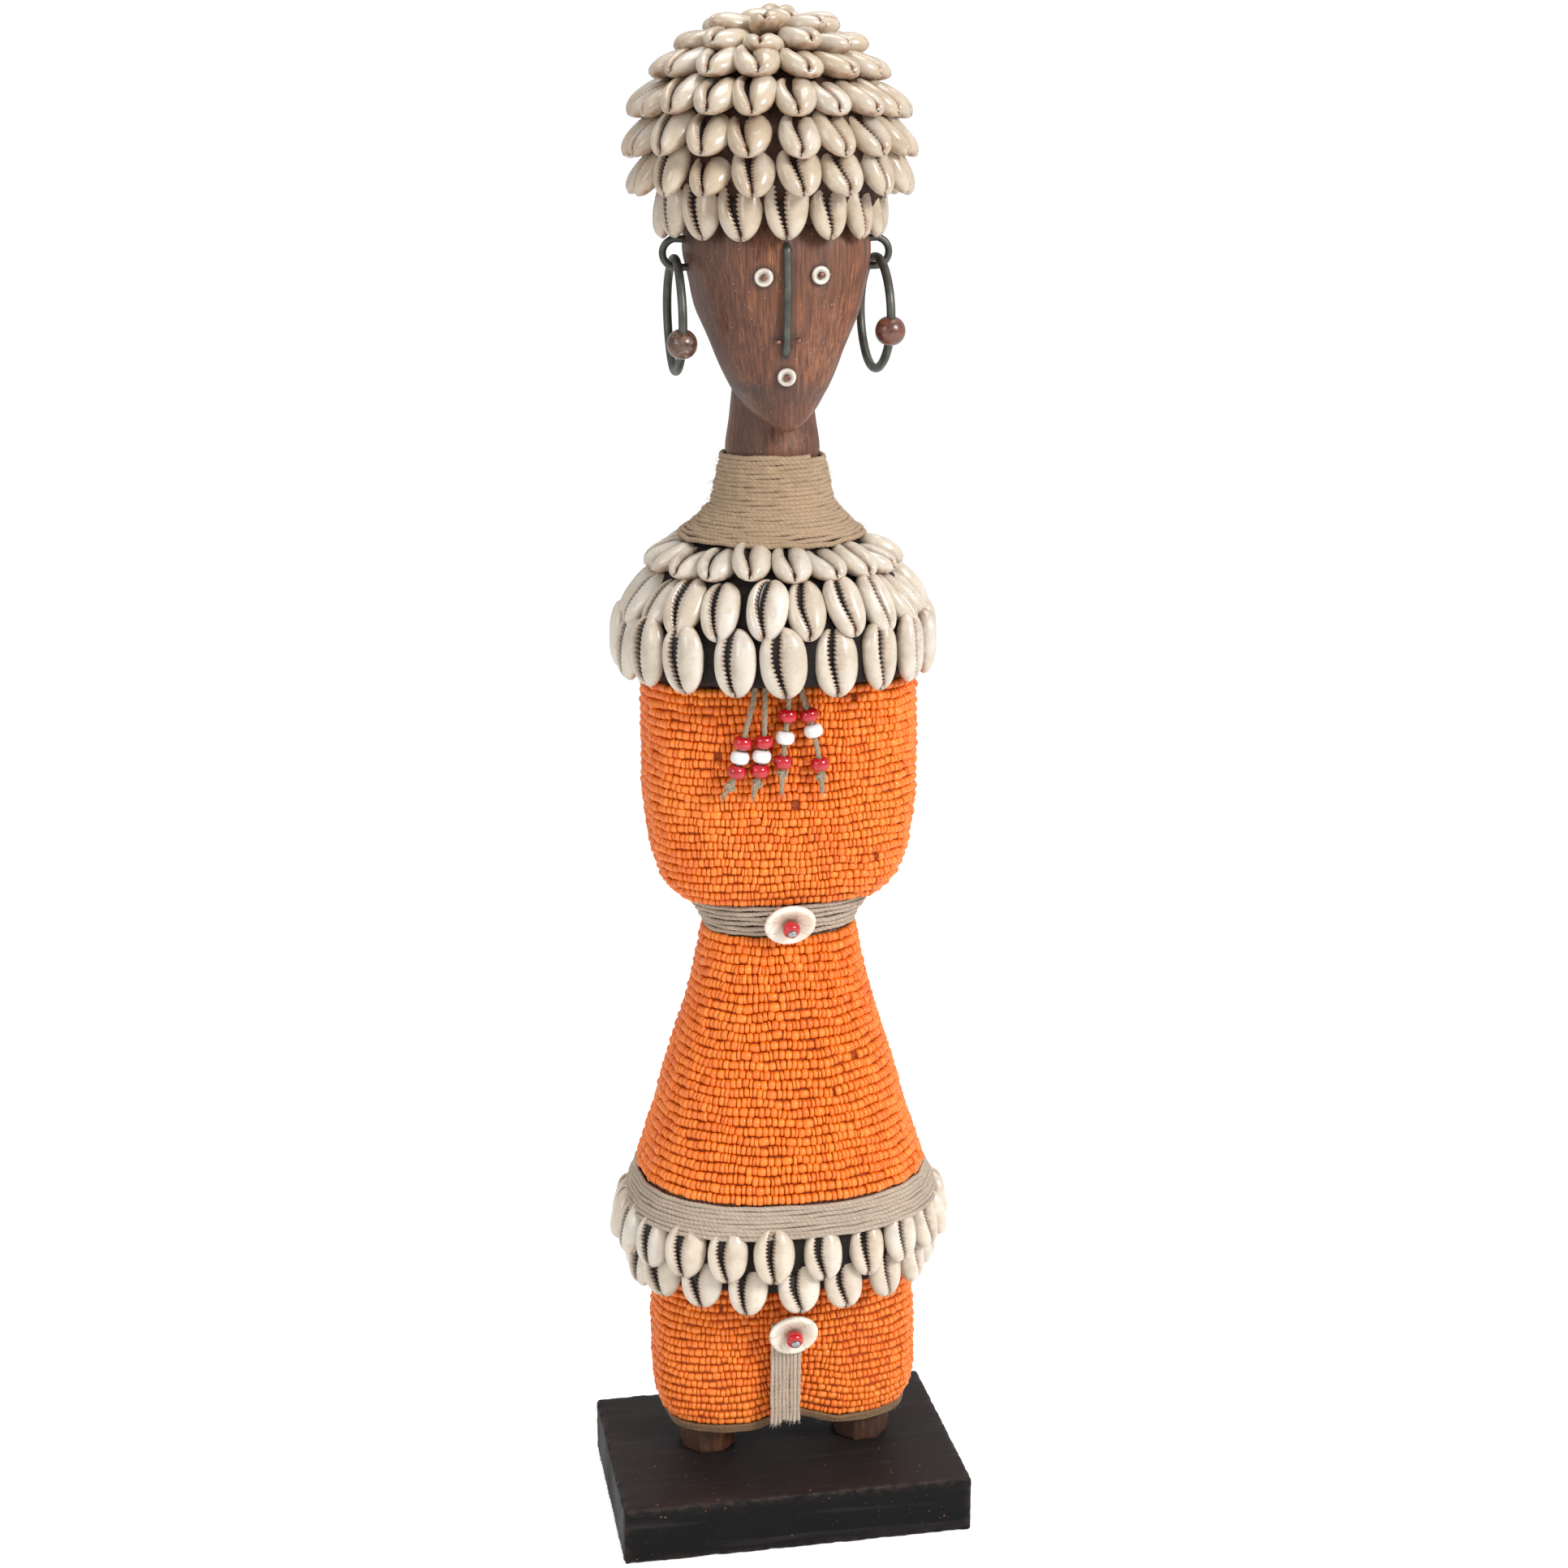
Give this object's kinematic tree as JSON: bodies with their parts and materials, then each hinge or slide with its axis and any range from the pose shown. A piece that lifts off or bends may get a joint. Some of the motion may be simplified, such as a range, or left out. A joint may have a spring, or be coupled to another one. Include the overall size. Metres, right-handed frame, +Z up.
{
  "type": "fertility doll",
  "caption": "Standing carved wood doll with cowrie headdress, cape and hem, orange beadwork, wire earrings and bead tassels, on a black wood block.",
  "frame": {"origin": "centre of the wood block's underside", "axes": "+Z up, the doll faces -Y, +X is on the viewer's right when facing the doll"},
  "size_m": [0.12, 0.0947, 0.5015],
  "materials": {
    "block_black": "black satin paint, rubbed edges",
    "carved_wood": "dark red-brown oiled hardwood",
    "cowrie_shell": "glossy cream shell set in dark pitch",
    "orange_beadwork": "opaque orange glass seed beads in strung rows",
    "twine": "brown plant-fibre twine",
    "pale_twine": "grey-tan plant-fibre cord",
    "white_disc_bead": "white disc bead",
    "copper_nail": "dull copper",
    "dark_wire": "dark grey-green iron wire",
    "brown_wood_bead": "polished mottled brown wood",
    "shell_button": "cream crackled shell disc",
    "red_glass_bead": "opaque red glass",
    "white_glass_bead": "opaque white glass",
    "steel_fastener": "plain steel"
  },
  "bodies": {
    "doll": {"base_block": "block_black", "carved_figure": "carved_wood", "crotch_button_bead": "red_glass_bead", "crotch_button_nail": "steel_fastener", "crotch_cord_strip": "pale_twine", "ear_staple_left": "dark_wire", "ear_staple_right": "dark_wire", "eye_disc_left": "white_disc_bead", "eye_disc_right": "white_disc_bead", "eye_nail_left": "copper_nail", "eye_nail_right": "copper_nail", "foot_screw_left": "steel_fastener", "foot_screw_right": "steel_fastener", "headdress_crown_shells": "cowrie_shell", "headdress_shell_row_1": "cowrie_shell", "headdress_shell_row_2": "cowrie_shell", "headdress_shell_row_3": "cowrie_shell", "headdress_shell_row_4": "cowrie_shell", "headdress_shell_row_5": "cowrie_shell", "hip_cord_band": "twine", "leg_beadwork": "orange_beadwork", "leg_hem_cord": "twine", "mouth_disc": "white_disc_bead", "mouth_nail": "copper_nail", "neck_cord_wrap": "twine", "nose_wire": "dark_wire", "nostril_nail_left": "copper_nail", "nostril_nail_right": "copper_nail", "shoulder_shell_row_1": "cowrie_shell", "shoulder_shell_row_2": "cowrie_shell", "shoulder_shell_row_3": "cowrie_shell", "skirt_beadwork": "orange_beadwork", "skirt_shell_row_1": "cowrie_shell", "skirt_shell_row_2": "cowrie_shell", "torso_beadwork": "orange_beadwork", "waist_button_bead": "red_glass_bead", "waist_button_nail": "steel_fastener", "waist_cord_band": "pale_twine"},
    "earring_left": {"earring_hoop_left": "dark_wire"},
    "earring_left_bead": {"earring_bead_left": "brown_wood_bead"},
    "earring_right": {"earring_hoop_right": "dark_wire"},
    "earring_right_bead": {"earring_bead_right": "brown_wood_bead"},
    "tassel_1": {"tassel_cord_1": "pale_twine", "tassel_1_top_bead": "red_glass_bead", "tassel_1_middle_bead": "white_glass_bead", "tassel_1_bottom_bead": "red_glass_bead"},
    "tassel_2": {"tassel_cord_2": "pale_twine", "tassel_2_top_bead": "red_glass_bead", "tassel_2_middle_bead": "white_glass_bead", "tassel_2_bottom_bead": "red_glass_bead"},
    "tassel_3": {"tassel_cord_3": "pale_twine", "tassel_3_top_bead": "red_glass_bead", "tassel_3_middle_bead": "white_glass_bead", "tassel_3_bottom_bead": "red_glass_bead"},
    "tassel_4": {"tassel_cord_4": "pale_twine", "tassel_4_top_bead": "red_glass_bead", "tassel_4_middle_bead": "white_glass_bead", "tassel_4_bottom_bead": "red_glass_bead"},
    "waist_button": {"waist_button_disc": "shell_button"},
    "crotch_button": {"crotch_button_disc": "shell_button"}
  },
  "joints": [
    {"name": "earring_left_swing", "type": "hinge", "parent": "doll", "child": "earring_left", "pos_m": [-0.0323, 0.002, 0.4248], "axis": [1, -0.007, 0], "range_deg": [-40, 40]},
    {"name": "earring_left_bead_slide", "type": "hinge", "parent": "earring_left", "child": "earring_left_bead", "pos_m": [-0.0323, 0.002, 0.4101], "axis": [1, -0.007, 0], "range_deg": [-11.5, 138.5]},
    {"name": "earring_right_swing", "type": "hinge", "parent": "doll", "child": "earring_right", "pos_m": [0.0319, 0.002, 0.4248], "axis": [0.9982, 0.0593, 0], "range_deg": [-40, 40]},
    {"name": "earring_right_bead_slide", "type": "hinge", "parent": "earring_right", "child": "earring_right_bead", "pos_m": [0.0319, 0.002, 0.4101], "axis": [0.9982, 0.0593, 0], "range_deg": [0, 150]},
    {"name": "tassel_1_swing", "type": "hinge", "parent": "doll", "child": "tassel_1", "pos_m": [-0.0122, -0.0286, 0.2995], "axis": [-1, 0, 0], "range_deg": [0, 40]},
    {"name": "tassel_2_swing", "type": "hinge", "parent": "doll", "child": "tassel_2", "pos_m": [-0.0094, -0.0286, 0.2995], "axis": [-1, 0, 0], "range_deg": [0, 40]},
    {"name": "tassel_3_swing", "type": "hinge", "parent": "doll", "child": "tassel_3", "pos_m": [-0.002, -0.0286, 0.2995], "axis": [-1, 0, 0], "range_deg": [0, 40]},
    {"name": "tassel_4_swing", "type": "hinge", "parent": "doll", "child": "tassel_4", "pos_m": [0.0017, -0.0286, 0.2995], "axis": [-1, 0, 0], "range_deg": [0, 40]},
    {"name": "waist_button_spin", "type": "hinge", "parent": "doll", "child": "waist_button", "pos_m": [-0.0001, -0.0216, 0.2164], "axis": [0, -0.8949, -0.4462], "continuous": true},
    {"name": "crotch_button_spin", "type": "hinge", "parent": "doll", "child": "crotch_button", "pos_m": [0, -0.0274, 0.0734], "axis": [0, -0.9563, -0.2924], "continuous": true}
  ]
}
